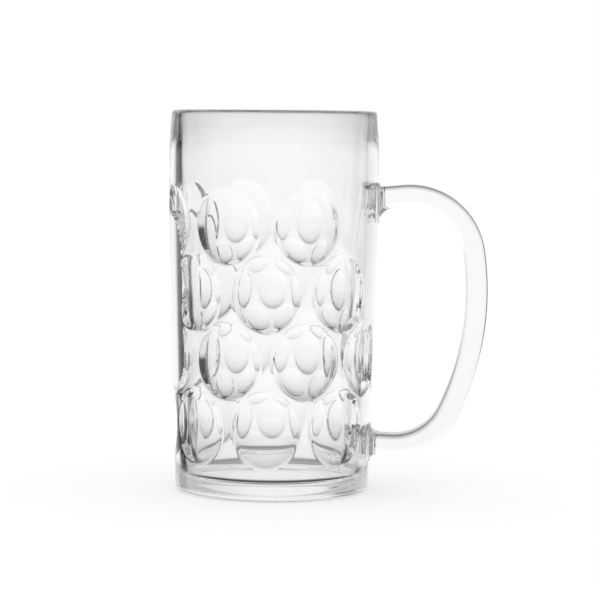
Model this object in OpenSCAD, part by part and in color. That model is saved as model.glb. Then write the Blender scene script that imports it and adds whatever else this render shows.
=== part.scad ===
// Clear plastic beer stein: a dimpled barrel on a bonded foot disc, with a bonded D handle.
// Millimetres, +Z up. It stands on z = 0, its axis is Z and its handle points along +X.

/* [Barrel] */
// Height from the table to the top of the rim
stein_h = 190.5; // [175:0.5:215]
// Outer diameter of the straight band below the lip
band_d = 105; // [98:0.5:116]
// Outer diameter at the rim
rim_d = 102.8; // [96:0.2:112]
// Outer diameter at the foot
foot_d = 97.6; // [92:0.2:106]
// Height of the lip that draws in to the rim
lip_h = 17.5; // [10:0.5:24]
// Height of the straight band below the lip
band_h = 27; // [15:0.5:36]
// Height where the straight foot ends and the wall starts to widen
skirt_h = 12; // [10:0.5:18]
// Wall thickness at the rim
rim_wall = 3.8; // [3:0.1:5.5]
// Wall thickness at the top of the straight band
band_wall = 5.8; // [4.6:0.1:7]
// Wall thickness at the floor
floor_wall = 5.3; // [4.5:0.1:7]
// Thickness of the barrel's own floor at its middle
floor_t = 2.8; // [1:0.1:6]
// How far the floor's bowl rises to the wall
bowl_rise = 5; // [4:0.5:14]
// How far the floor's bowl reaches in from the wall
bowl_reach = 20; // [10:0.5:40]

/* [Foot] */
// Thickness of the foot disc
foot_t = 3; // [2.5:0.25:9]
// Radius of the foot disc's lower edge
foot_edge_r = 2.75; // [1:0.25:4.5]
// Thickness of every adhesive film
film_t = 0.25; // [0.15:0.05:0.5]
// How far the foot film stops short of the outer face
film_inset = 0.2; // [0.1:0.1:2]

/* [Dimples] */
// Rows of dimples
dimple_rows = 4; // [1:1:4]
// Places for dimples round each row
dimple_slots = 8; // [6:1:9]
// Height of the lowest row's middle above the table
first_row_z = 35.4; // [32:0.2:40]
// Height from one row to the next
row_pitch = 33; // [30:0.5:36]
// Height of a dimple
dimple_h = 36.6; // [26:0.2:40]
// Depth of a dimple at its middle
dimple_depth = 3.4; // [2.5:0.1:4.2]
// Radius of a dimple across the barrel
dimple_side_r = 238; // [160:1:320]
// Angle of the plain strip behind the handle
plain_strip_angle = 30; // [20:1:44]
// Angle of the plain patch round the handle's upper end
plain_patch_angle = 60; // [50:1:88]
// Width of the plain panel opposite the handle
panel_w = 55.6; // [40:0.2:70]
// Height of the panel's lower end above the table
panel_low_z = 51.5; // [40:0.5:70]
// Height of the panel's upper end above the table
panel_high_z = 139; // [120:0.5:150]
// Radius of the panel's corners
panel_corner_r = 14; // [4:0.5:20]

/* [Handle] */
// Thickness of the handle bar, seen from the side
bar_t = 10.9; // [8:0.1:14]
// Width of the handle bar, seen from behind
bar_w = 16; // [12:0.5:24]
// Radius of the bar's edges
bar_edge_r = 2.8; // [1:0.1:3.6]
// Height where the bar's middle meets the wall at the upper end
upper_root_z = 147.5; // [135:0.1:152]
// Slope of the bar as it leaves the upper end
upper_slope = 5; // [0:0.5:12]
// Distance from the wall to the upper bend's centre
upper_bend_x = 16.1; // [13:0.1:22]
// Radius of the upper bend
upper_bend_r = 32.3; // [26:0.1:38]
// Radius of the long grip
grip_r = 136.4; // [95:0.2:180]
// Radius of the lower bend
lower_bend_r = 30.2; // [24:0.1:40]
// Distance from the wall to the lower bend's centre
lower_bend_x = 12.1; // [12:0.1:18]
// Slope of the bar as it leaves the lower end
lower_slope = -2; // [-8:0.5:12]
// Height where the bar's middle meets the wall at the lower end
lower_root_z = 24; // [20:0.1:30]
// Fillet on the hand's side of the upper end
upper_inner_fillet = 7; // [2:0.5:8]
// Fillet on the outer side of the upper end
upper_outer_fillet = 1.6; // [0.5:0.1:4]
// Fillet on the hand's side of the lower end
lower_inner_fillet = 4; // [2:0.5:8]
// Fillet on the outer side of the lower end
lower_outer_fillet = 3; // [0.5:0.1:4]
// Fillet on the two flanks of each end
flank_fillet = 4; // [1:0.5:6]
// Thickness of the pad's edge at each end
pad_edge = 0.8; // [0.5:0.1:2]
// Clearance on each side of a pad's adhesive film
seat_gap = 0.06; // [0.02:0.01:0.15]

/* [Hidden] */
$fn = 96;
FINE = 360;

CLEAR = "#dde5e7";
CLEAR_ALPHA = 0.4;
FILM = "#cfd6d6";
FILM_ALPHA = 0.6;

// Barrel, worked out from the sizes above
band_r = band_d / 2;
rim_r = rim_d / 2;
foot_r = foot_d / 2;
mouth_r = rim_r - rim_wall;
throat_r = band_r - band_wall;
floor_r = foot_r - floor_wall;
barrel_z = foot_t + film_t;
floor_z = barrel_z + floor_t;
lip_z = stein_h - lip_h;
band_z = lip_z - band_h;
rim_bead_r = rim_wall / 2;
rim_bead_z = stein_h - rim_bead_r;
taper = atan((band_r - foot_r) / (band_z - skirt_h));

// Inside wall and the bowl of the floor: a quarter of an ellipse from the wall to the flat middle
bowl_steps = 24;
inner_lean = (throat_r - floor_r) / (lip_z - floor_z);
bowl_z = floor_z + bowl_rise;
bowl_r = floor_r + inner_lean * bowl_rise;
bowl_x = bowl_r - bowl_reach;
bowl = [for (i = [0:bowl_steps])
    [bowl_x + bowl_reach * sin(90 * i / bowl_steps), bowl_z - bowl_rise * cos(90 * i / bowl_steps)]];

// Dimple cutter: a lens cut from a ring, whose tube gives the upright curve
lens_r = (pow(dimple_h / 2, 2) + pow(dimple_depth, 2)) / (2 * dimple_depth);
cutter_rise = 0.4;
cutter_spare = 0.8;
cutter_t = dimple_depth + cutter_rise;
dimple_sag = dimple_side_r + band_r - dimple_depth;
dimple_meet = (dimple_sag * dimple_sag + band_r * band_r - dimple_side_r * dimple_side_r) / (2 * dimple_sag);
dimple_half_w = sqrt(band_r * band_r - dimple_meet * dimple_meet);
cutter_angle = 2 * (asin(dimple_half_w / dimple_side_r) + cutter_spare);

// Handle bends: the long grip touches both smaller bends from outside
upper_wall_r = wall_r(upper_root_z);
lower_wall_r = wall_r(lower_root_z);
upper_c = [upper_wall_r + upper_bend_x,
           upper_root_z + upper_bend_x * tan(upper_slope) - upper_bend_r / cos(upper_slope)];
lower_c = [lower_wall_r + lower_bend_x,
           lower_root_z + lower_bend_x * tan(lower_slope) + lower_bend_r / cos(lower_slope)];
to_upper = grip_r - upper_bend_r;
to_lower = grip_r - lower_bend_r;
span = norm(lower_c - upper_c);
along = (lower_c - upper_c) / span;
along_len = (to_upper * to_upper - to_lower * to_lower + span * span) / (2 * span);
across_len = sqrt(to_upper * to_upper - along_len * along_len);
grip_c = upper_c + along * along_len + [along.y, -along.x] * across_len;
upper_angle = 90 + upper_slope;
lower_angle = lower_slope - 90;
upper_switch = atan2(upper_c.y - grip_c.y, upper_c.x - grip_c.x);
lower_switch = atan2(lower_c.y - grip_c.y, lower_c.x - grip_c.x);

// Handle mesh: stations along the bar, each a ring of points
bend_steps = 14;
grip_steps = 10;
corner_points = 5;
fillet_steps = 5;
root_sink = 4;
root_fillet = max(upper_inner_fillet, lower_inner_fillet);
turn_len = pad_edge + root_fillet + 4;
root_stops = concat([-root_sink],
    [for (i = [0:fillet_steps]) pad_edge + root_fillet * (1 - cos(90 * i / fillet_steps))]);
pad_w = bar_w + 2 * flank_fillet;

// Radius of the undimpled wall at a height
function wall_r(z) = lookup(z, [[0, foot_r], [skirt_h, foot_r], [band_z, band_r], [lip_z, band_r], [stein_h, rim_r]]);

// Height of a dimple row's middle
function row_z(row) = first_row_z + row * row_pitch;

// Angle of a dimple from the handle's plane, with every other row half a place on
function slot_angle(row, slot) = (slot + (row % 2) / 2) * 360 / dimple_slots;

// How far an angle lies from the handle's plane
function from_handle(angle) = min(angle, 360 - angle);

// Plain angle behind the handle at a row, which is wider where a row passes the upper end
function plain_angle(row) = row_z(row) + dimple_h / 2 > upper_root_z - bar_t ? plain_patch_angle : plain_strip_angle;

// Extra reach of a quarter-round fillet at a distance from the wall
function flare(d, r) = d <= pad_edge ? r : d >= pad_edge + r ? 0 : r - sqrt(r * r - pow(r - d + pad_edge, 2));

// How strongly a station follows the wall: 1 at the pad, 0 on the free bar
function wall_hold(d) = max(0, min(1, 1 - (d - pad_edge) / (turn_len - pad_edge)));

// Point on an arc in the handle's plane
function on_arc(c, r, a) = [c.x + r * cos(a), c.y + r * sin(a)];

// A station is [middle, angle of the bar's outward normal, angle on the wall, distance from the wall, wall radius,
// inner fillet, outer fillet]
function free_station(c, r, a) = [on_arc(c, r, a), a, a, turn_len, band_r, 0, 0];

function upper_root() = [for (d = root_stops)
    [[upper_wall_r + d, upper_root_z + max(d - pad_edge, 0) * tan(upper_slope)],
     upper_angle, 90, d, upper_wall_r, upper_inner_fillet, upper_outer_fillet]];

function lower_root() = [for (d = root_stops)
    [[lower_wall_r + d, lower_root_z + max(d - pad_edge, 0) * tan(lower_slope)],
     lower_angle, -90, d, lower_wall_r, lower_inner_fillet, lower_outer_fillet]];

function arc_stations(c, r, from, to, steps) = [for (i = [0:steps]) free_station(c, r, from + (to - from) * i / steps)];

function backwards(list) = [for (i = [len(list) - 1:-1:0]) list[i]];

function handle_stations() = concat(
    upper_root(),
    arc_stations(upper_c, upper_bend_r, upper_angle, upper_switch, bend_steps),
    [for (i = [1:grip_steps - 1]) free_station(grip_c, grip_r, upper_switch + (lower_switch - upper_switch) * i / grip_steps)],
    arc_stations(lower_c, lower_bend_r, lower_switch, lower_angle, bend_steps),
    backwards(lower_root()));

// Ring of points round a station: a rounded oblong that flares and bows to the wall near the ends
function ring(station) =
    let (d = station[3],
         hold = wall_hold(d),
         angle = station[1] + (station[2] - station[1]) * hold,
         half = bar_t / 2 / cos(angle - station[1]),
         inn = half + flare(d, station[5]),
         out = half + flare(d, station[6]),
         side = bar_w / 2 + flare(d, flank_fillet),
         r = bar_edge_r + min(flare(d, station[6]), flare(d, flank_fillet)))
    [for (corner = [0:3], k = [0:corner_points - 1])
        let (a = 90 * (corner + k / (corner_points - 1)),
             y = (corner == 0 || corner == 3 ? side - r : r - side) + r * cos(a),
             u = (corner < 2 ? out - r : r - inn) + r * sin(a),
             bow = hold * (station[4] - sqrt(station[4] * station[4] - y * y)))
        [station[0].x + u * cos(angle) - bow, y, station[0].y + u * sin(angle)]];

// Closed mesh through a row of stations
module swept(stations) {
    rings = [for (s = stations) ring(s)];
    n = len(rings[0]);
    m = len(rings);
    sides = [for (i = [0:m - 2], k = [0:n - 1], half = [0, 1])
        let (a = i * n + k, b = i * n + (k + 1) % n)
        half == 0 ? [a, b, a + n] : [b, b + n, a + n]];
    first_cap = [for (k = [1:n - 2]) [0, k + 1, k]];
    last_cap = [for (k = [1:n - 2]) [(m - 1) * n, (m - 1) * n + k, (m - 1) * n + k + 1]];
    polyhedron(points = [for (r = rings, p = r) p], faces = concat(sides, first_cap, last_cap), convexity = 8);
}

// The barrel's outside without dimples, grown by a film's thickness
module wall_solid(grow) {
    rotate_extrude($fn = FINE)
        polygon([[0, 0], [foot_r + grow, 0], [foot_r + grow, skirt_h], [band_r + grow, band_z],
                 [band_r + grow, lip_z], [rim_r + grow, stein_h], [0, stein_h]]);
}

module cavity_outline() {
    polygon(concat([[0, floor_z]], bowl, [[throat_r, lip_z], [mouth_r, rim_bead_z], [0, rim_bead_z]]));
}

module barrel_outline() {
    difference() {
        polygon([[0, barrel_z], [foot_r, barrel_z], [foot_r, skirt_h], [band_r, band_z],
                 [band_r, lip_z], [rim_r, rim_bead_z], [0, rim_bead_z]]);
        cavity_outline();
    }
    translate([rim_r - rim_bead_r, rim_bead_z])
        circle(rim_bead_r);
}

module dimple_cutter(row, slot) {
    rotate([0, 0, slot_angle(row, slot)])
        translate([wall_r(row_z(row)), 0, row_z(row)])
            rotate([0, taper, 0])
                translate([dimple_side_r - dimple_depth, 0, 0])
                    rotate([0, 0, 180 - cutter_angle / 2])
                        rotate_extrude(angle = cutter_angle, $fn = FINE)
                            intersection() {
                                translate([dimple_side_r - lens_r, 0])
                                    circle(lens_r, $fn = FINE);
                                translate([dimple_side_r - cutter_t, -lens_r])
                                    square([cutter_t, 2 * lens_r]);
                            }
}

// Block that keeps the dimples off the plain panel
module panel_block() {
    translate([-band_r - cutter_rise, 0, (panel_low_z + panel_high_z) / 2])
        rotate([90, 0, 90])
            linear_extrude(band_r)
                rounded_oblong(panel_w, panel_high_z - panel_low_z, panel_corner_r);
}

module barrel() {
    color(CLEAR, CLEAR_ALPHA)
        difference() {
            rotate_extrude($fn = FINE)
                barrel_outline();
            difference() {
                for (row = [0:dimple_rows - 1], slot = [0:dimple_slots - 1])
                    if (from_handle(slot_angle(row, slot)) > plain_angle(row) / 2)
                        dimple_cutter(row, slot);
                panel_block();
            }
        }
}

module foot_disc() {
    color(CLEAR, CLEAR_ALPHA)
        rotate_extrude() {
            polygon([[0, 0], [foot_r - foot_edge_r, 0], [foot_r, foot_edge_r], [foot_r, foot_t], [0, foot_t]]);
            intersection() {
                translate([foot_r - foot_edge_r, foot_edge_r])
                    circle(foot_edge_r);
                square([foot_r, foot_t]);
            }
        }
}

module foot_adhesive() {
    color(FILM, FILM_ALPHA)
        translate([0, 0, foot_t])
            cylinder(h = film_t, r = foot_r - film_inset);
}

module handle() {
    color(CLEAR, CLEAR_ALPHA)
        difference() {
            swept(handle_stations());
            wall_solid(film_t + 2 * seat_gap);
        }
}

// Flat shape with round corners
module rounded_oblong(w, h, r) {
    square([w - 2 * r, h], center = true);
    square([w, h - 2 * r], center = true);
    for (x = [-1, 1], y = [-1, 1])
        translate([x * (w / 2 - r), y * (h / 2 - r)])
            circle(r);
}

// Film between a pad and the wall, with the pad's own outline
module pad_film(wall, low_z, high_z, outer_fillet) {
    color(FILM, FILM_ALPHA)
        intersection() {
            translate([wall - root_sink, 0, (low_z + high_z) / 2])
                rotate([90, 0, 90])
                    linear_extrude(root_sink + pad_edge)
                        rounded_oblong(pad_w, high_z - low_z, bar_edge_r + min(outer_fillet, flank_fillet));
            difference() {
                wall_solid(film_t + seat_gap);
                wall_solid(seat_gap);
            }
        }
}

module upper_handle_adhesive() {
    half = bar_t / 2 / cos(upper_slope);
    pad_film(upper_wall_r, upper_root_z - half - upper_inner_fillet, upper_root_z + half + upper_outer_fillet,
             upper_outer_fillet);
}

module lower_handle_adhesive() {
    half = bar_t / 2 / cos(lower_slope);
    pad_film(lower_wall_r, lower_root_z - half - lower_outer_fillet, lower_root_z + half + lower_inner_fillet,
             lower_outer_fillet);
}

barrel();
foot_disc();
foot_adhesive();
handle();
upper_handle_adhesive();
lower_handle_adhesive();
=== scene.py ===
"""Looks for a clear plastic beer stein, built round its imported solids."""

import logging
import math
from dataclasses import dataclass
from enum import Enum
from typing import Callable, Mapping, Sequence, Union

import bpy
import numpy as np
from mathutils import Matrix, Vector

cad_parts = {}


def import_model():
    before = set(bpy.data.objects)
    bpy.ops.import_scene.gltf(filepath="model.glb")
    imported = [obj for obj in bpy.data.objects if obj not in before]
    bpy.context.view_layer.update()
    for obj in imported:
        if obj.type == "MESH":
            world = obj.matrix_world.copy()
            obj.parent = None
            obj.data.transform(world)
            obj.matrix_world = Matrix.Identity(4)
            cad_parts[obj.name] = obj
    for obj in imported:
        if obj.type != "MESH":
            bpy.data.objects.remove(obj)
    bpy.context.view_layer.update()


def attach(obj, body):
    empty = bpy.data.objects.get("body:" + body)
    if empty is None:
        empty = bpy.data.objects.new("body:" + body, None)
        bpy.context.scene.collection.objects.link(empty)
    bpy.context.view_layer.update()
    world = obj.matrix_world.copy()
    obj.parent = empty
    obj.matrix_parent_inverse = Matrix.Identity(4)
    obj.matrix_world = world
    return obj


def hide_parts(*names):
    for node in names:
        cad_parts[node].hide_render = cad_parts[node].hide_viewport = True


LOG = logging.getLogger("stein")
MM = 0.001
BODY = "root"
SHARP_ANGLE = math.radians(38)
LIGHT_BOUNCES = 48
SAME_PLACE = 1e-6
FLAT = 1e-3
HALF_TURN = 180
QUARTER_TURN = 90
DEGREES = HALF_TURN / math.pi

Number = Union[int, float]
Operand = Union["Wire", Number]
Pair = tuple[float, float]
Triple = tuple[float, float, float]
Face = tuple[int, ...]


class Slot(Enum):
    """Material slots of the record."""

    PLASTIC = "clear_plastic"
    ADHESIVE = "clear_adhesive"


class Skin(Enum):
    """Finish of a face on a piece: open to the air, or bonded to its neighbour."""

    OPEN = 0
    BONDED = 1


class MixSocket:
    """Places of the sockets of a Mix node that blends colours."""

    FACTOR = 0
    FIRST = 6
    SECOND = 7
    RESULT = 2


class Wire:
    """An output socket whose sums and products add Math nodes to its graph."""

    def __init__(self, graph: "Graph", socket: bpy.types.NodeSocket) -> None:
        """Keep the graph and the socket."""
        self.graph = graph
        self.socket = socket

    def out(self, name: str) -> "Wire":
        """Another output of the same node."""
        return Wire(self.graph, self.socket.node.outputs[name])

    def math(self, operation: str, *values: Operand) -> "Wire":
        """The result of a Math node on these values."""
        return self.graph.add("ShaderNodeMath", {"operation": operation}, dict(enumerate(values)))

    def __add__(self, other: Operand) -> "Wire":
        """Sum."""
        return self.math("ADD", self, other)

    def __rsub__(self, other: Operand) -> "Wire":
        """Difference with a number in front."""
        return self.math("SUBTRACT", other, self)

    def __mul__(self, other: Operand) -> "Wire":
        """Product."""
        return self.math("MULTIPLY", self, other)

    def choose(self, yes: Operand, no: Operand) -> "Wire":
        """One value where this mask is 1 and the other where it is 0.

        Args:
            yes: Value at mask 1.
            no: Value at mask 0.

        Returns:
            The blend of the two values.
        """
        return self * yes + (1 - self) * no

    def ramp(self, low: float, high: float, start: float = 0.0, end: float = 1.0) -> "Wire":
        """A clamped straight line from start at low to end at high.

        Args:
            low: Value that gives start.
            high: Value that gives end.
            start: Result at and below low.
            end: Result at and above high.

        Returns:
            The mapped value.
        """
        spans = {0: self, 1: low, 2: high, 3: start, 4: end}
        return self.graph.add("ShaderNodeMapRange", {"clamp": True}, spans)


class Graph:
    """A node tree that expressions fill."""

    def __init__(self, tree: bpy.types.NodeTree) -> None:
        """Empty the tree and keep it."""
        self.tree = tree
        tree.nodes.clear()

    def add(
        self,
        kind: str,
        settings: Mapping[str, object] | None = None,
        sockets: Mapping[int | str, object] | None = None,
        output: int | str = 0,
    ) -> Wire:
        """Add a node, its settings first and then its sockets.

        Args:
            kind: Blender's name of the node type.
            settings: Properties of the node; stops fills a colour ramp with grey levels.
            sockets: Values or wires for the inputs.
            output: The output that the returned wire stands for.

        Returns:
            A wire from the chosen output.
        """
        node = self.tree.nodes.new(kind)
        for name, value in (settings or {}).items():
            if name == "stops":
                self.fill_ramp(node, value)
            else:
                setattr(node, name, value)
        for key, value in (sockets or {}).items():
            if isinstance(value, Wire):
                self.tree.links.new(value.socket, node.inputs[key])
            else:
                node.inputs[key].default_value = value
        return Wire(self, node.outputs[output]) if node.outputs else None

    @staticmethod
    def fill_ramp(node: bpy.types.Node, stops: Sequence[Pair]) -> None:
        """Give a colour ramp these (place, grey level) stops."""
        marks = node.color_ramp.elements
        while len(marks) < len(stops):
            marks.new(0.5)
        for mark, (place, level) in zip(marks, stops):
            mark.position = place
            mark.color = (level, level, level, 1)


@dataclass(frozen=True)
class ClearFinish:
    """A clear plastic or adhesive, with the faint flow marks of a moulding."""

    name: str
    tint: Triple
    flow_tint: Triple
    ior: float
    gloss_roughness: float
    scuff_roughness: float
    flow_scale: float
    scuff_scale: float
    ripple_scale: float
    ripple: float
    flow_detail: float = 3.0
    scuff_detail: float = 6.0
    ripple_detail: float = 1.0
    flow_span: Pair = (0.35, 0.65)
    scuff_span: Pair = (0.62, 0.8)

    def material(self) -> bpy.types.Material:
        """Make the node material.

        Returns:
            The new material.
        """
        made = bpy.data.materials.new(self.name)
        made.use_nodes = True
        graph = Graph(made.node_tree)
        place = graph.add("ShaderNodeTexCoord", output="Object")
        flow = self.noise(place, self.flow_scale, self.flow_detail)
        scuff = self.noise(place, self.scuff_scale, self.scuff_detail)
        ripple = self.noise(place, self.ripple_scale, self.ripple_detail)
        colour = graph.add(
            "ShaderNodeMix",
            {"data_type": "RGBA"},
            {
                MixSocket.FACTOR: flow.ramp(*self.flow_span),
                MixSocket.FIRST: (*self.tint, 1),
                MixSocket.SECOND: (*self.flow_tint, 1),
            },
            output=MixSocket.RESULT,
        )
        roughness = scuff.ramp(*self.scuff_span, self.gloss_roughness, self.scuff_roughness)
        bump = {"Strength": 1.0, "Distance": self.ripple, "Height": ripple}
        normal = graph.add("ShaderNodeBump", sockets=bump)
        shader = graph.add(
            "ShaderNodeBsdfPrincipled",
            sockets={
                "Base Color": colour,
                "Roughness": roughness,
                "Normal": normal,
                "IOR": self.ior,
                "Transmission Weight": 1.0,
            },
        )
        graph.add("ShaderNodeOutputMaterial", sockets={"Surface": shader})
        return made

    @staticmethod
    def noise(place: Wire, scale: float, detail: float) -> Wire:
        """A noise pattern that stays with the piece.

        Args:
            place: Coordinates on the piece.
            scale: Patches per metre.
            detail: Number of finer layers.

        Returns:
            The noise value.
        """
        sockets = {"Vector": place, "Scale": scale, "Detail": detail}
        return place.graph.add("ShaderNodeTexNoise", sockets=sockets)


CLEAR_PLASTIC = ClearFinish(
    name="clear_plastic",
    tint=(0.985, 0.989, 0.988),
    flow_tint=(0.978, 0.984, 0.983),
    ior=1.58,
    gloss_roughness=0.0,
    scuff_roughness=0.02,
    flow_scale=18.0,
    scuff_scale=240.0,
    ripple_scale=70.0,
    ripple=0.00002,
)
ADHESIVE_EDGE = ClearFinish(
    name="adhesive_edge",
    tint=(0.94, 0.95, 0.945),
    flow_tint=(0.9, 0.915, 0.91),
    ior=1.5,
    gloss_roughness=0.06,
    scuff_roughness=0.16,
    flow_scale=90.0,
    scuff_scale=400.0,
    ripple_scale=300.0,
    ripple=0.00002,
)
BONDED_FACE = ClearFinish(
    name="bonded_face",
    tint=(0.995, 0.997, 0.996),
    flow_tint=(0.985, 0.99, 0.988),
    ior=1.0,
    gloss_roughness=0.0,
    scuff_roughness=0.0,
    flow_scale=120.0,
    scuff_scale=240.0,
    ripple_scale=70.0,
    ripple=0.0,
)


class Finishes:
    """The materials of the stein, made once and shared by its pieces."""

    def __init__(self) -> None:
        """Make the three materials."""
        self.plastic = CLEAR_PLASTIC.material()
        self.adhesive = ADHESIVE_EDGE.material()
        self.bonded = BONDED_FACE.material()

    def of(self, slot: Slot) -> list[bpy.types.Material]:
        """Materials of a piece, in the order of Skin."""
        outside = self.plastic if slot is Slot.PLASTIC else self.adhesive
        return [outside, self.bonded]


@dataclass
class Shell:
    """Points, faces and face finishes of a closed piece, in millimetres."""

    points: list[Triple]
    faces: list[Face]
    skins: list[Skin]

    def piece(self, name: str, slot: Slot, finishes: Finishes) -> bpy.types.Object:
        """Make the object, dress it and let it stand for the CAD node of its name.

        Args:
            name: CAD node that the piece replaces.
            slot: Material slot of the record.
            finishes: Shared materials.

        Returns:
            The dressed object.
        """
        mesh = bpy.data.meshes.new(f"{name}_clear")
        mesh.from_pydata((np.array(self.points) * MM).tolist(), [], self.faces)
        for finish in finishes.of(slot):
            mesh.materials.append(finish)
        mesh.polygons.foreach_set("use_smooth", [True] * len(mesh.polygons))
        mesh.polygons.foreach_set("material_index", [skin.value for skin in self.skins])
        mesh.update()
        mesh.set_sharp_from_angle(angle=SHARP_ANGLE)
        made = bpy.data.objects.new(f"{name}_clear", mesh)
        bpy.context.scene.collection.objects.link(made)
        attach(made, BODY)
        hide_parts(name)
        LOG.info("%s: %d faces", made.name, len(mesh.polygons))
        return made


def arc(centre: Pair, radius: float, start: float, end: float, steps: int) -> list[Pair]:
    """Points on an arc, both ends included.

    Args:
        centre: Middle of the arc.
        radius: Its radius.
        start: First angle in degrees.
        end: Last angle in degrees.
        steps: Number of equal steps.

    Returns:
        The points in order.
    """
    angles = np.radians(np.linspace(start, end, steps + 1))
    return [(centre[0] + radius * math.cos(a), centre[1] + radius * math.sin(a)) for a in angles]


def line(start: Pair, end: Pair, steps: int) -> list[Pair]:
    """Points on a straight line, both ends included."""
    shares = np.linspace(0, 1, steps + 1)
    return [(start[0] + (end[0] - start[0]) * t, start[1] + (end[1] - start[1]) * t) for t in shares]


def joined(*runs: Sequence[Pair]) -> list[Pair]:
    """Runs of points end to end, with each shared end kept once."""
    path: list[Pair] = []
    for run in runs:
        path.extend(p for p in run if not path or math.dist(p, path[-1]) > SAME_PLACE)
    return path


@dataclass(frozen=True)
class Wall:
    """The outside of the barrel without its dimples."""

    height: float = 190.5
    band_r: float = 52.5
    rim_r: float = 51.4
    foot_r: float = 48.8
    lip_z: float = 173.0
    band_z: float = 146.0
    skirt_z: float = 12.0

    def radius(self, z: float | np.ndarray) -> float | np.ndarray:
        """Outer radius at a height."""
        heights = [0, self.skirt_z, self.band_z, self.lip_z, self.height]
        radii = [self.foot_r, self.foot_r, self.band_r, self.band_r, self.rim_r]
        return np.interp(z, heights, radii)

    def reach(self, y: float, z: float, grow: float) -> float:
        """X of the wall's face towards the handle, grown outwards.

        Args:
            y: Place across the handle.
            z: Height.
            grow: Distance outside the wall.

        Returns:
            The x coordinate.
        """
        return math.sqrt((float(self.radius(z)) + grow) ** 2 - y * y)


@dataclass(frozen=True)
class Pad:
    """Outline with round corners on the wall, in y and z."""

    low_z: float
    high_z: float
    width: float
    corner_r: float

    def beyond(self, y: np.ndarray, z: np.ndarray) -> np.ndarray:
        """How far points lie outside the outline, below zero where they are inside it.

        Args:
            y: Places across the handle.
            z: Heights.

        Returns:
            The distances.
        """
        middle = (self.low_z + self.high_z) / 2
        over_y = np.maximum(np.abs(y) - (self.width / 2 - self.corner_r), 0)
        over_z = np.maximum(np.abs(z - middle) - ((self.high_z - self.low_z) / 2 - self.corner_r), 0)
        return np.hypot(over_y, over_z) - self.corner_r

    def outline(self, corner_steps: int, side_steps: int) -> list[Pair]:
        """Points round the outline, starting at the upper end of its +y side.

        Args:
            corner_steps: Steps round each corner.
            side_steps: Steps along each side.

        Returns:
            The closed outline without a repeated point.
        """
        half_w = self.width / 2 - self.corner_r
        low = self.low_z + self.corner_r
        high = self.high_z - self.corner_r
        centres = [(half_w, high), (-half_w, high), (-half_w, low), (half_w, low)]
        corners = [arc(c, self.corner_r, 90 * i, 90 * i + 90, corner_steps) for i, c in enumerate(centres)]
        runs: list[Sequence[Pair]] = []
        for i, corner in enumerate(corners):
            following = corners[(i + 1) % len(corners)]
            runs.append(corner)
            runs.append(line(corner[-1], following[0], side_steps))
        return joined(*runs)[:-1]


@dataclass(frozen=True)
class Joints:
    """Film thickness and clearances of the bonded joints."""

    film: float = 0.25
    seat_gap: float = 0.06
    foot_gap: float = 0.03
    foot_inset: float = 0.2

    @property
    def handle_face(self) -> float:
        """Distance from the wall to the handle's end face."""
        return self.film + 2 * self.seat_gap


@dataclass
class Revolved:
    """A closed profile turned round the Z axis, with its ends on the axis."""

    profile: list[Pair]
    columns: int

    def angles(self) -> np.ndarray:
        """Angles of the columns."""
        return np.linspace(0, 2 * math.pi, self.columns, endpoint=False)

    def rings(self) -> np.ndarray:
        """Points of all rings between the two ends, as (ring, column, xyz)."""
        inside = np.array(self.profile[1:-1])
        angles = self.angles()
        x = inside[:, :1] * np.cos(angles)
        y = inside[:, :1] * np.sin(angles)
        z = np.repeat(inside[:, 1:], self.columns, axis=1)
        return np.stack([x, y, z], axis=-1)

    def shell(self, rings: np.ndarray, skin: Callable[[np.ndarray], np.ndarray]) -> Shell:
        """Close the rings into a shell.

        Args:
            rings: Points as (ring, column, xyz).
            skin: Gives a mask of bonded faces from the faces' middles.

        Returns:
            The closed shell.
        """
        count = len(rings)
        index = np.arange(count * self.columns).reshape(count, self.columns)
        here = index[:-1]
        above = index[1:]
        quads = np.stack([here, np.roll(here, -1, 1), np.roll(above, -1, 1), above], -1).reshape(-1, 4)
        points = rings.reshape(-1, 3)
        first = len(points)
        ends = np.array([[0, 0, self.profile[0][1]], [0, 0, self.profile[-1][1]]])
        points = np.vstack([points, ends])
        following = np.roll(np.arange(self.columns), -1)
        below = [(first, int(index[0, k]), int(index[0, j])) for j, k in enumerate(following)]
        over = [(first + 1, int(index[-1, j]), int(index[-1, k])) for j, k in enumerate(following)]
        faces = [tuple(q) for q in quads.tolist()] + below + over
        middles = np.vstack([points[quads].mean(1), points[np.array(below + over)].mean(1)])
        bonded = skin(middles)
        skins = [Skin.BONDED if b else Skin.OPEN for b in bonded]
        return Shell(points.tolist(), faces, skins)


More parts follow.
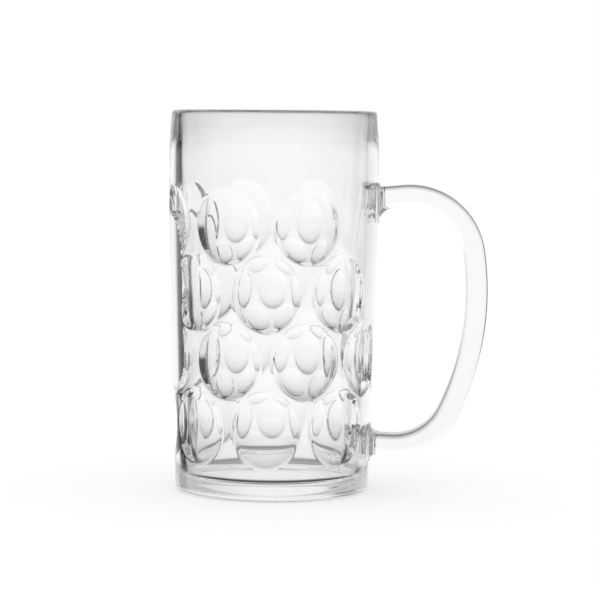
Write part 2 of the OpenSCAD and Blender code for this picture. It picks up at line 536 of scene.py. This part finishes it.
@dataclass
class Barrel:
    """The cup: wall, lip, rim bead, bowl-shaped floor and the lens dimples outside."""

    wall: Wall
    joints: Joints
    pads: Sequence[Pad]
    rim_wall: float = 3.8
    throat_r: float = 46.7
    floor_r: float = 43.5
    under_z: float = 3.25
    floor_z: float = 6.05
    bowl_rise: float = 5.0
    bowl_reach: float = 20.0
    edge_r: float = 0.05
    rows: Sequence[float] = (35.4, 68.4, 101.4, 134.4)
    slots: int = 8
    dimple_half_w: float = 16.5
    dimple_half_h: float = 18.3
    dimple_depth: float = 3.4
    dimple_bulge: float = 0.6
    rim_soft: float = 0.08
    strip_angle: float = 15.0
    patch_angle: float = 30.0
    panel: Pad = Pad(low_z=51.5, high_z=139.0, width=55.6, corner_r=14.0)
    panel_soft: float = 1.0
    outside_depth: float = 0.5
    film_margin: float = 0.2
    least_away: float = 0.1
    columns: int = 344
    row_step: float = 0.8
    row_spare: float = 2.0
    flat_steps: int = 12
    edge_steps: int = 3
    skirt_steps: int = 4
    lip_steps: int = 6
    bead_steps: int = 16
    inner_steps: int = 24
    bowl_steps: int = 24

    def dimples(self) -> list[Pair]:
        """Angle and height of each dimple's middle."""
        found: list[Pair] = []
        for row, z in enumerate(self.rows):
            clear = self.patch_angle if row == len(self.rows) - 1 else self.strip_angle
            for place in range(self.slots):
                angle = (place + row % 2 / 2) * 360 / self.slots
                if min(angle, 360 - angle) > clear:
                    found.append((math.radians(angle), z))
        return found

    def offset(self, angles: np.ndarray, z: np.ndarray, dimple: Pair) -> tuple[np.ndarray, np.ndarray]:
        """Place of points in a dimple, where its rim is at distance 1.

        Args:
            angles: Angles of the points.
            z: Heights of the points.
            dimple: Angle and height of the dimple's middle.

        Returns:
            The places across and up.
        """
        turn = (angles - dimple[0] + math.pi) % (2 * math.pi) - math.pi
        across = turn * float(self.wall.radius(dimple[1])) / self.dimple_half_w
        return across, (z - dimple[1]) / self.dimple_half_h

    def settle(self, angles: np.ndarray, z: np.ndarray) -> tuple[np.ndarray, np.ndarray]:
        """Move the points nearest to each dimple's rim onto it.

        Args:
            angles: Angles of the grid's points.
            z: Heights of the grid's points.

        Returns:
            The new angles and heights.
        """
        near = 0.5 * self.row_step / self.dimple_half_h
        for dimple in self.dimples():
            across, up = self.offset(angles, z, dimple)
            away = np.hypot(across, up)
            onto_rim = 1 / np.maximum(away, self.least_away) - 1
            shift = np.where(np.abs(away - 1) < near, onto_rim, 0)
            angles = angles + shift * across * self.dimple_half_w / float(self.wall.radius(dimple[1]))
            z = z + shift * up * self.dimple_half_h
        return angles, z

    def depth(self, angles: np.ndarray, z: np.ndarray) -> np.ndarray:
        """Depth of the dimples at points on the wall."""
        deepest = np.zeros(np.broadcast(angles, z).shape)
        for dimple in self.dimples():
            across, up = self.offset(angles, z, dimple)
            inside = 1 - across**2 - up**2
            eased = np.clip(inside + self.rim_soft, 0, 2 * self.rim_soft) ** 2 / (4 * self.rim_soft)
            deepest = np.maximum(deepest, eased + np.maximum(inside - self.rim_soft, 0))
        past = self.panel.beyond(self.wall.radius(z) * np.sin(angles), z)
        share = np.where(np.cos(angles) < 0, np.clip(past / self.panel_soft, 0, 1), 1)
        return self.dimple_depth * deepest**self.dimple_bulge * share**2 * (3 - 2 * share)

    def profile(self) -> tuple[list[Pair], range]:
        """Section from the underside's middle, up the outside and down the inside.

        Returns:
            The section and the range of its points that carry dimples.
        """
        wall = self.wall
        film_r = wall.foot_r - self.joints.foot_inset
        bead = self.rim_wall / 2
        bead_z = wall.height - bead
        low = self.rows[0] - self.dimple_half_h - self.row_spare
        high = self.rows[-1] + self.dimple_half_h + self.row_spare
        dimpled = np.linspace(low, high, int((high - low) / self.row_step) + 1)
        lean = math.atan2(self.throat_r - self.floor_r, wall.lip_z - self.floor_z)
        bowl_x = self.floor_r + math.tan(lean) * self.bowl_rise - self.bowl_reach / math.cos(lean)
        bowl = self.bowl(lean, (bowl_x, self.floor_z + self.bowl_rise))
        edge = (wall.foot_r - self.edge_r, self.under_z + self.edge_r)
        start = joined(
            line((0, self.under_z), (film_r, self.under_z), self.flat_steps),
            arc(edge, self.edge_r, -90, 0, self.edge_steps),
            line((wall.foot_r, edge[1]), (wall.foot_r, low), self.skirt_steps),
        )
        grid = [(float(wall.radius(z)), float(z)) for z in dimpled]
        first = len(start) - 1
        path = joined(
            start[:-1],
            grid,
            line(grid[-1], (wall.band_r, wall.lip_z), self.lip_steps),
            line((wall.band_r, wall.lip_z), (wall.rim_r, bead_z), self.lip_steps),
            arc((wall.rim_r - bead, bead_z), bead, 0, HALF_TURN, self.bead_steps),
            line((wall.rim_r - 2 * bead, bead_z), (self.throat_r, wall.lip_z), self.lip_steps),
            line((self.throat_r, wall.lip_z), bowl[0], self.inner_steps),
            bowl,
            line((bowl_x, self.floor_z), (0, self.floor_z), self.flat_steps),
        )
        return path, range(first, first + len(grid))

    def bowl(self, lean: float, middle: Pair) -> list[Pair]:
        """Rounded corner between the inside wall and the floor.

        Args:
            lean: Lean of the inside wall.
            middle: Middle of the corner's quarter oval.

        Returns:
            The points from the wall down to the floor.
        """
        turned = arc((0, 0), 1, -math.degrees(lean), -90, self.bowl_steps)
        return [(middle[0] + x * self.bowl_reach, middle[1] + z * self.bowl_rise) for x, z in turned]

    def bonded(self, middles: np.ndarray) -> np.ndarray:
        """Mask of the faces under the foot film and the handle's films."""
        away = np.hypot(middles[:, 0], middles[:, 1])
        film_r = self.wall.foot_r - self.joints.foot_inset
        under = (middles[:, 2] < self.under_z + FLAT) & (away < film_r)
        wall_r = self.wall.radius(middles[:, 2])
        outside = (middles[:, 0] > 0) & (away > wall_r - self.outside_depth)
        pads = [pad.beyond(middles[:, 1], middles[:, 2]) <= -self.film_margin for pad in self.pads]
        return under | (outside & np.logical_or.reduce(pads))

    def build(self, finishes: Finishes) -> bpy.types.Object:
        """Build and dress the barrel.

        Args:
            finishes: Shared materials.

        Returns:
            The finished piece.
        """
        path, dimpled = self.profile()
        turned = Revolved(path, self.columns)
        rings = turned.rings()
        grid = slice(dimpled.start - 1, dimpled.stop - 1)
        angles = np.broadcast_to(turned.angles(), rings[grid].shape[:2])
        angles, z = self.settle(angles, rings[grid][..., 2])
        radius = self.wall.radius(z) - self.depth(angles, z)
        rings[grid] = np.stack([radius * np.cos(angles), radius * np.sin(angles), z], axis=-1)
        return turned.shell(rings, self.bonded).piece("barrel", Slot.PLASTIC, finishes)


@dataclass
class Foot:
    """The disc under the barrel and the film that bonds it."""

    wall: Wall
    joints: Joints
    thickness: float = 3.0
    edge_r: float = 2.75
    top_edge_r: float = 0.05
    columns: int = 240
    flat_steps: int = 12
    edge_steps: int = 12
    side_steps: int = 3
    top_edge_steps: int = 3
    film_steps: int = 4
    film_side_steps: int = 2

    def build_disc(self, finishes: Finishes) -> bpy.types.Object:
        """Build and dress the disc.

        Args:
            finishes: Shared materials.

        Returns:
            The finished piece.
        """
        outer = self.wall.foot_r
        film_r = outer - self.joints.foot_inset
        top_edge = (outer - self.top_edge_r, self.thickness - self.top_edge_r)
        path = joined(
            line((0, 0), (outer - self.edge_r, 0), self.flat_steps),
            arc((outer - self.edge_r, self.edge_r), self.edge_r, -90, 0, self.edge_steps),
            line((outer, self.edge_r), (outer, top_edge[1]), self.side_steps),
            arc(top_edge, self.top_edge_r, 0, 90, self.top_edge_steps),
            line((film_r, self.thickness), (0, self.thickness), self.flat_steps),
        )
        turned = Revolved(path, self.columns)

        def bonded(middles: np.ndarray) -> np.ndarray:
            """Mask of the faces under the film."""
            away = np.hypot(middles[:, 0], middles[:, 1])
            return (middles[:, 2] > self.thickness - FLAT) & (away < film_r)

        return turned.shell(turned.rings(), bonded).piece("foot_disc", Slot.PLASTIC, finishes)

    def build_film(self, finishes: Finishes) -> bpy.types.Object:
        """Build and dress the film.

        Args:
            finishes: Shared materials.

        Returns:
            The finished piece.
        """
        film_r = self.wall.foot_r - self.joints.foot_inset
        low = self.thickness + self.joints.foot_gap
        high = self.thickness + self.joints.film - self.joints.foot_gap
        path = joined(
            line((0, low), (film_r, low), self.film_steps),
            line((film_r, low), (film_r, high), self.film_side_steps),
            line((film_r, high), (0, high), self.film_steps),
        )
        turned = Revolved(path, self.columns)

        def bonded(middles: np.ndarray) -> np.ndarray:
            """Mask of the two broad faces."""
            return np.abs(middles[:, 2] - (low + high) / 2) > (high - low) / 2 - FLAT

        return turned.shell(turned.rings(), bonded).piece("foot_adhesive", Slot.ADHESIVE, finishes)


@dataclass(frozen=True)
class End:
    """One end of the handle: where it meets the wall, its first bend and its fillets."""

    root_z: float
    slope: float
    bend_x: float
    bend_r: float
    inner_fillet: float
    outer_fillet: float
    side: int

    @property
    def on_wall(self) -> float:
        """Angle of the bar's outer side at the wall."""
        return self.side * math.pi / 2

    @property
    def normal(self) -> float:
        """Angle of the bar's outer side where it leaves the wall."""
        return self.on_wall + self.slope

    def bend_centre(self, wall_r: float) -> Vector:
        """Middle of the first bend, in x and z."""
        rise = self.bend_x * math.tan(self.slope) - self.side * self.bend_r / math.cos(self.slope)
        return Vector((wall_r + self.bend_x, self.root_z + rise))

    def pad(self, bar_t: float, width: float, edge_r: float) -> Pad:
        """Outline of the end on the wall.

        Args:
            bar_t: Thickness of the bar.
            width: Width of the pad.
            edge_r: Radius of the bar's edges.

        Returns:
            The outline.
        """
        half = bar_t / 2 / math.cos(self.slope)
        above, below = self.outer_fillet, self.inner_fillet
        if self.side < 0:
            above, below = below, above
        return Pad(
            low_z=self.root_z - half - below,
            high_z=self.root_z + half + above,
            width=width,
            corner_r=edge_r + self.outer_fillet,
        )


@dataclass(frozen=True)
class Station:
    """A place along the handle bar."""

    middle: Pair
    normal: float
    on_wall: float
    distance: float
    wall_r: float
    inner_fillet: float = 0.0
    outer_fillet: float = 0.0


class Handle:
    """The D-shaped bar, with a flared pad at each end, and the films behind the pads."""

    bar_t = 10.9
    bar_w = 16.0
    edge_r = 2.8
    upper = End(
        root_z=147.5,
        slope=math.radians(5),
        bend_x=16.1,
        bend_r=32.3,
        inner_fillet=7.0,
        outer_fillet=1.6,
        side=1,
    )
    lower = End(
        root_z=24.0,
        slope=math.radians(-2),
        bend_x=12.1,
        bend_r=30.2,
        inner_fillet=4.0,
        outer_fillet=3.0,
        side=-1,
    )
    grip_r = 136.4
    flank_fillet = 4.0
    pad_edge = 0.8
    turn_spare = 4.0
    bend_steps = 40
    grip_steps = 44
    fillet_steps = 16
    corner_steps = 8
    film_side_steps = 6
    flat_support = 0.07
    cap_shares = (0.75, 0.5, 0.25)

    def __init__(self, wall: Wall, joints: Joints) -> None:
        """Work out the bends from the wall.

        Args:
            wall: Outside of the barrel.
            joints: Film sizes.
        """
        self.wall = wall
        self.joints = joints
        self.root_fillet = max(self.upper.inner_fillet, self.lower.inner_fillet)
        self.turn_len = self.pad_edge + self.root_fillet + self.turn_spare
        self.upper_c = self.upper.bend_centre(float(wall.radius(self.upper.root_z)))
        self.lower_c = self.lower.bend_centre(float(wall.radius(self.lower.root_z)))
        to_upper = self.grip_r - self.upper.bend_r
        to_lower = self.grip_r - self.lower.bend_r
        between = self.lower_c - self.upper_c
        span = between.length
        along = between / span
        along_len = (to_upper**2 - to_lower**2 + span**2) / (2 * span)
        across_len = math.sqrt(to_upper**2 - along_len**2)
        self.grip_c = self.upper_c + along * along_len + Vector((along.y, -along.x)) * across_len

    def pads(self) -> list[Pad]:
        """Outlines of the upper and the lower pad on the wall."""
        width = self.bar_w + 2 * self.flank_fillet
        return [end.pad(self.bar_t, width, self.edge_r) for end in (self.upper, self.lower)]

    def flare(self, distance: float, radius: float) -> float:
        """Extra reach of a quarter-round fillet at a distance from the wall."""
        past = distance - self.pad_edge
        if past <= 0:
            return radius
        if past >= radius:
            return 0.0
        return radius - math.sqrt(radius**2 - (radius - past) ** 2)

    def root(self, end: End) -> list[Station]:
        """Stations from an end's pad to its first bend, from the wall outwards."""
        wall_r = float(self.wall.radius(end.root_z))
        turns = np.linspace(0, math.pi / 2, self.fillet_steps + 1)
        stops = [0.0] + [self.pad_edge + self.root_fillet * (1 - math.cos(t)) for t in turns]
        rise = math.tan(end.slope)
        places = [(wall_r + d, end.root_z + max(d - self.pad_edge, 0) * rise) for d in stops]
        fillets = (end.inner_fillet, end.outer_fillet)
        return [Station(p, end.normal, end.on_wall, d, wall_r, *fillets) for p, d in zip(places, stops)]

    def bend(self, centre: Vector, radius: float, start: float, end: float, steps: int) -> list[Station]:
        """Stations on an arc of the free bar.

        Args:
            centre: Middle of the arc.
            radius: Its radius.
            start: First angle.
            end: Last angle.
            steps: Number of steps.

        Returns:
            The stations, both ends included.
        """
        angles = np.linspace(start, end, steps + 1)
        places = [(centre.x + radius * math.cos(a), centre.y + radius * math.sin(a)) for a in angles]
        free = (self.turn_len, self.wall.band_r)
        return [Station(p, float(a), float(a), *free) for p, a in zip(places, angles)]

    def stations(self) -> list[Station]:
        """All stations, from the upper pad round to the lower pad."""
        to_upper = self.upper_c - self.grip_c
        to_lower = self.lower_c - self.grip_c
        switch_upper = math.atan2(to_upper.y, to_upper.x)
        switch_lower = math.atan2(to_lower.y, to_lower.x)
        grip = self.bend(self.grip_c, self.grip_r, switch_upper, switch_lower, self.grip_steps)
        return [
            *self.root(self.upper),
            *self.bend(self.upper_c, self.upper.bend_r, self.upper.normal, switch_upper, self.bend_steps),
            *grip[1:-1],
            *self.bend(self.lower_c, self.lower.bend_r, switch_lower, self.lower.normal, self.bend_steps),
            *reversed(self.root(self.lower)),
        ]

    def section(self, side: float, out: float, inner: float, radius: float) -> list[Pair]:
        """Rounded oblong round the bar, with support points beside each corner.

        Args:
            side: Half of its width.
            out: Reach to the outer side.
            inner: Reach to the hand's side.
            radius: Radius of its corners.

        Returns:
            Points as (across, outwards).
        """
        centres = [(side - radius, out - radius), (radius - side, out - radius)]
        centres += [(radius - side, radius - inner), (side - radius, radius - inner)]
        corners = [arc(c, radius, 90 * i, 90 * i + 90, self.corner_steps) for i, c in enumerate(centres)]
        points: list[Pair] = []
        for i, corner in enumerate(corners):
            following = corners[(i + 1) % len(corners)][0]
            points.extend(corner)
            for share in (self.flat_support, 1 - self.flat_support):
                last = corner[-1]
                points.append(tuple(a + (b - a) * share for a, b in zip(last, following)))
        return points

    def ring(self, station: Station) -> list[Triple]:
        """Ring of points at a station: it flares and bows to the wall near the ends."""
        d = station.distance
        hold = min(max(1 - (d - self.pad_edge) / (self.turn_len - self.pad_edge), 0), 1)
        angle = station.normal + (station.on_wall - station.normal) * hold
        half = self.bar_t / 2 / math.cos(angle - station.normal)
        outer = self.flare(d, station.outer_fillet)
        flank = self.flare(d, self.flank_fillet)
        section = self.section(
            self.bar_w / 2 + flank,
            half + outer,
            half + self.flare(d, station.inner_fillet),
            self.edge_r + min(outer, flank),
        )
        points: list[Triple] = []
        for y, u in section:
            bow = hold * (station.wall_r - math.sqrt(station.wall_r**2 - y * y))
            z = station.middle[1] + u * math.sin(angle)
            x = station.middle[0] + u * math.cos(angle) - bow
            if d == 0:
                x = self.wall.reach(y, z, self.joints.handle_face)
            points.append((x, y, z))
        return points

    def cap(self, shell: Shell, ring: Sequence[Triple], first: int, grow: float, outward: bool) -> None:
        """Close a ring that lies on the wall with a bonded face that follows the wall.

        Args:
            shell: Shell that gets the points and faces.
            ring: The ring's points.
            first: Index of the ring's first point in the shell.
            grow: Distance of the face from the wall.
            outward: True where the face looks away from the barrel.
        """
        count = len(ring)
        middle = np.array(ring).mean(0)
        rows = [list(range(first, first + count))]
        for share in self.cap_shares:
            rows.append(list(range(len(shell.points), len(shell.points) + count)))
            for _, y, z in ring:
                at_y = middle[1] + (y - middle[1]) * share
                at_z = middle[2] + (z - middle[2]) * share
                shell.points.append((self.wall.reach(at_y, at_z, grow), at_y, at_z))
        tip = len(shell.points)
        shell.points.append((self.wall.reach(middle[1], middle[2], grow), middle[1], middle[2]))
        made: list[Face] = []
        for near, far in zip(rows, rows[1:]):
            made += [(near[k], near[(k + 1) % count], far[(k + 1) % count], far[k]) for k in range(count)]
        made += [(rows[-1][k], rows[-1][(k + 1) % count], tip) for k in range(count)]
        shell.faces += made if outward else [tuple(reversed(face)) for face in made]
        shell.skins += [Skin.BONDED] * len(made)

    @staticmethod
    def sides(shell: Shell, first: int, second: int, count: int) -> None:
        """Join two rings of a shell with a band of open faces.

        Args:
            shell: Shell that gets the faces.
            first: Index of the first ring's first point.
            second: Index of the second ring's first point.
            count: Points in a ring.
        """
        for k in range(count):
            following = (k + 1) % count
            shell.faces.append((first + k, first + following, second + following, second + k))
            shell.skins.append(Skin.OPEN)

    def build_bar(self, finishes: Finishes) -> bpy.types.Object:
        """Build and dress the bar.

        Args:
            finishes: Shared materials.

        Returns:
            The finished piece.
        """
        rings = [self.ring(station) for station in self.stations()]
        count = len(rings[0])
        shell = Shell([point for ring in rings for point in ring], [], [])
        for i in range(len(rings) - 1):
            self.sides(shell, i * count, (i + 1) * count, count)
        self.cap(shell, rings[0], 0, self.joints.handle_face, False)
        self.cap(shell, rings[-1], (len(rings) - 1) * count, self.joints.handle_face, True)
        return shell.piece("handle", Slot.PLASTIC, finishes)

    def build_film(self, name: str, pad: Pad, finishes: Finishes) -> bpy.types.Object:
        """Build and dress the film behind a pad.

        Args:
            name: CAD node of the film.
            pad: Outline of the pad.
            finishes: Shared materials.

        Returns:
            The finished piece.
        """
        near = self.joints.seat_gap
        far = near + self.joints.film
        outline = pad.outline(self.corner_steps, self.film_side_steps)
        inner = [(self.wall.reach(y, z, near), y, z) for y, z in outline]
        outer = [(self.wall.reach(y, z, far), y, z) for y, z in outline]
        count = len(outline)
        shell = Shell(inner + outer, [], [])
        self.sides(shell, 0, count, count)
        self.cap(shell, inner, 0, near, False)
        self.cap(shell, outer, count, far, True)
        return shell.piece(name, Slot.ADHESIVE, finishes)


@dataclass(frozen=True)
class Camera:
    """Viewpoint of the photograph, for a square picture."""

    picture: float = 600.0
    focal: float = 2602.0
    distance: float = 1305.0
    height: float = 197.0
    axis_x: float = 273.0
    azimuth: float = math.radians(3.0)
    pitch: float = math.radians(4.45)
    roll: float = math.radians(0.53)
    sensor: float = 36.0

    def place(self) -> bpy.types.Object:
        """Make the scene's camera.

        Returns:
            The camera object.
        """
        data = bpy.data.cameras.new("viewpoint")
        data.sensor_width = self.sensor
        data.lens = self.sensor * self.focal / self.picture
        made = bpy.data.objects.new("viewpoint", data)
        bpy.context.scene.collection.objects.link(made)
        back = Vector((math.sin(self.azimuth), -math.cos(self.azimuth), 0))
        right = Vector((math.cos(self.azimuth), math.sin(self.azimuth), 0))
        up = Vector((0, 0, 1))
        aside = (self.picture / 2 - self.axis_x) / self.focal * self.distance
        forward = -back * math.cos(self.pitch) - up * math.sin(self.pitch)
        level = up * math.cos(self.pitch) - back * math.sin(self.pitch)
        across = right * math.cos(self.roll) + level * math.sin(self.roll)
        upright = level * math.cos(self.roll) - right * math.sin(self.roll)
        matrix = Matrix((across, upright, -forward)).transposed().to_4x4()
        matrix.translation = (back * self.distance + right * aside + up * self.height) * MM
        made.matrix_world = matrix
        bpy.context.scene.camera = made
        return made


@dataclass(frozen=True)
class Band:
    """Grey levels by turn, and the rises where they take over from the band below, in degrees."""

    takeover: Pair
    stops: Sequence[Pair]


@dataclass(frozen=True)
class Surround:
    """Light round the stein: bands from the lowest up, faded by rise, all in degrees."""

    bands: Sequence[Band]
    fade: Sequence[Pair]

    def level(self, graph: Graph, turn: Wire, rise: Wire) -> Wire:
        """Light that comes from a direction.

        Args:
            graph: Node tree of the world.
            turn: Degrees round from the backdrop's middle.
            rise: Degrees above the horizon.

        Returns:
            The grey level.
        """
        level = 0
        for band in self.bands:
            tone = self.tone(graph, turn, band.stops, HALF_TURN)
            level = rise.ramp(*band.takeover).choose(tone, level)
        return level * self.tone(graph, rise, self.fade, QUARTER_TURN)

    @staticmethod
    def tone(graph: Graph, angle: Wire, stops: Sequence[Pair], most: float) -> Wire:
        """Grey level at an angle.

        Args:
            graph: Node tree of the world.
            angle: Degrees between -most and most.
            stops: Degrees and their levels.
            most: Largest angle.

        Returns:
            The level between the nearest stops.
        """
        shares = [((degrees + most) / (2 * most), level) for degrees, level in stops]
        return graph.add("ShaderNodeValToRGB", {"stops": shares}, {0: angle.ramp(-most, most)})


FROM_BELOW: Pair = (-91, -90)

# What shows straight through the plastic
SEEN_THROUGH = Surround(
    bands=(
        Band(
            takeover=FROM_BELOW,
            stops=(
                (-112, 0.95),
                (-108, 0.25),
                (-98, 0.25),
                (-94, 0.95),
                (-66, 0.95),
                (-60, 0.25),
                (-40, 0.3),
                (-26, 0.85),
                (-18, 0.97),
                (15, 0.97),
                (28, 0.7),
                (60, 0.35),
                (66, 0.95),
                (94, 0.95),
                (98, 0.25),
                (108, 0.25),
                (112, 0.95),
            ),
        ),
        Band(
            takeover=(-16, -11),
            stops=(
                (-66, 0.95),
                (-60, 0.05),
                (-38, 0.02),
                (-33, 0.92),
                (0, 0.98),
                (36, 0.95),
                (48, 0.6),
                (60, 0.6),
                (66, 0.95),
            ),
        ),
        Band(
            takeover=(0, 5),
            stops=(
                (-70, 1.0),
                (-60, 0.5),
                (-46, 0.6),
                (-36, 0.97),
                (0, 1.02),
                (30, 1.08),
                (70, 1.0),
            ),
        ),
    ),
    fade=(
        (-62, 0.5),
        (-54, 0.2),
        (-37, 0.2),
        (-31, 0.4),
        (-26, 0.56),
        (-19, 0.66),
        (-13, 0.86),
        (-5, 0.98),
        (20, 1.04),
    ),
)
# What is mirrored inside the plastic
MIRRORED = Surround(
    bands=(
        Band(
            takeover=FROM_BELOW,
            stops=(
                (-150, 0.3),
                (-110, 0.05),
                (-28, 0.05),
                (-20, 0.8),
                (5, 0.95),
                (20, 0.5),
                (32, 0.05),
                (80, 0.02),
                (150, 0.3),
            ),
        ),
        Band(
            takeover=(-20, -13),
            stops=(
                (-150, 1.2),
                (-110, 0.6),
                (-95, 0.04),
                (-37, 0.04),
                (-31, 0.95),
                (0, 1.1),
                (20, 0.95),
                (38, 0.85),
                (46, 0.3),
                (60, 0.08),
                (110, 0.6),
                (150, 1.2),
            ),
        ),
        Band(
            takeover=(-7, -2),
            stops=(
                (-150, 0.8),
                (-110, 0.65),
                (-62, 0.86),
                (-54, 0.2),
                (-38, 0.2),
                (-31, 0.9),
                (0, 0.95),
                (20, 0.8),
                (42, 0.7),
                (60, 0.8),
                (100, 0.8),
                (150, 0.8),
            ),
        ),
        Band(
            takeover=(20, 36),
            stops=(
                (-150, 0.8),
                (-100, 0.6),
                (-55, 1.0),
                (0, 0.75),
                (30, 0.85),
                (60, 0.65),
                (100, 0.4),
                (150, 0.7),
            ),
        ),
    ),
    fade=((-42, 0.02), (-34, 0.08), (-28, 0.25), (-18, 0.75), (-8, 1.0)),
)
# What glances off the outside
GLANCED = Surround(
    bands=(
        Band(takeover=FROM_BELOW, stops=((-66, 0.95), (-60, 0.05), (-45, 0.05), (-36, 0.95))),
        Band(takeover=(10, 25), stops=((-180, 0.95), (180, 0.95))),
    ),
    fade=((-90, 1.0), (90, 1.0)),
)


@dataclass(frozen=True)
class Studio:
    """White sweep with dark cards low beside it, a pale table and plain soft light."""

    through: Surround = SEEN_THROUGH
    mirrored: Surround = MIRRORED
    glanced: Surround = GLANCED
    backdrop: float = 1.0
    ambient: float = 0.9
    table_r: float = 0.55
    table_drop: float = 0.0002
    table_tone: float = 0.5
    table_white: float = 1.02
    table_sides: int = 128

    def light_world(self) -> None:
        """Set the world that lights the stein and shows through it."""
        world = bpy.data.worlds.new("studio")
        bpy.context.scene.world = world
        world.use_nodes = True
        graph = Graph(world.node_tree)
        ray = graph.add("ShaderNodeTexCoord", output="Generated")
        x = graph.add("ShaderNodeSeparateXYZ", sockets={0: ray})
        turn = x.math("ARCTAN2", x, x.out("Y")) * DEGREES
        rise = x.math("ARCSINE", x.out("Z")) * DEGREES
        path = graph.add("ShaderNodeLightPath")
        bounced = path.math("MINIMUM", path.out("Glossy Depth"), 1.0)
        inside = path.math("MINIMUM", path.out("Transmission Depth"), 1.0)
        through = self.through.level(graph, turn, rise)
        mirrored = self.mirrored.level(graph, turn, rise)
        glanced = self.glanced.level(graph, turn, rise)
        level = inside.choose(bounced.choose(mirrored, through), glanced)
        level = path.out("Is Diffuse Ray").choose(self.ambient, level)
        level = path.out("Is Camera Ray").choose(self.backdrop, level)
        light = graph.add("ShaderNodeBackground", sockets={"Color": (1, 1, 1, 1), "Strength": level})
        graph.add("ShaderNodeOutputWorld", sockets={"Surface": light})

    def table_finish(self) -> bpy.types.Material:
        """Pale table that keeps the shadow and looks white to the camera.

        Returns:
            The new material.
        """
        made = bpy.data.materials.new("pale_table")
        made.use_nodes = True
        graph = Graph(made.node_tree)
        path = graph.add("ShaderNodeLightPath")
        glow = path.out("Is Camera Ray") * (self.table_white - self.table_tone * self.ambient)
        tone = (self.table_tone,) * 3 + (1,)
        matt = graph.add("ShaderNodeBsdfDiffuse", sockets={"Color": tone})
        shine = graph.add("ShaderNodeEmission", sockets={"Strength": glow})
        both = graph.add("ShaderNodeAddShader", sockets={0: matt, 1: shine})
        graph.add("ShaderNodeOutputMaterial", sockets={"Surface": both})
        return made

    def lay_table(self) -> bpy.types.Object:
        """Make the round table top.

        Returns:
            The staged object.
        """
        angles = np.linspace(0, 2 * math.pi, self.table_sides, endpoint=False)
        rim = [(self.table_r * math.cos(a), self.table_r * math.sin(a), -self.table_drop) for a in angles]
        mesh = bpy.data.meshes.new("table")
        mesh.from_pydata(rim, [], [tuple(range(self.table_sides))])
        mesh.materials.append(self.table_finish())
        made = bpy.data.objects.new("table", mesh)
        made.visible_glossy = False
        made.visible_transmission = False
        bpy.context.scene.collection.objects.link(made)
        return made

    def set_up(self) -> None:
        """Set the world, the table and the light paths that clear plastic needs."""
        self.light_world()
        self.lay_table()
        scene = bpy.context.scene
        scene.view_settings.view_transform = "Standard"
        scene.cycles.max_bounces = LIGHT_BOUNCES
        scene.cycles.transmission_bounces = LIGHT_BOUNCES
        scene.cycles.glossy_bounces = LIGHT_BOUNCES


def main() -> None:
    """Load the frame, build the stein's pieces and set up the studio."""
    logging.basicConfig(level=logging.INFO, format="%(name)s: %(message)s")
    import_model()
    wall = Wall()
    joints = Joints()
    handle = Handle(wall, joints)
    upper, lower = handle.pads()
    foot = Foot(wall, joints)
    finishes = Finishes()
    Barrel(wall, joints, (upper, lower)).build(finishes)
    foot.build_disc(finishes)
    foot.build_film(finishes)
    handle.build_bar(finishes)
    handle.build_film("upper_handle_adhesive", upper, finishes)
    handle.build_film("lower_handle_adhesive", lower, finishes)
    Camera().place()
    Studio().set_up()


if __name__ == "__main__":
    main()
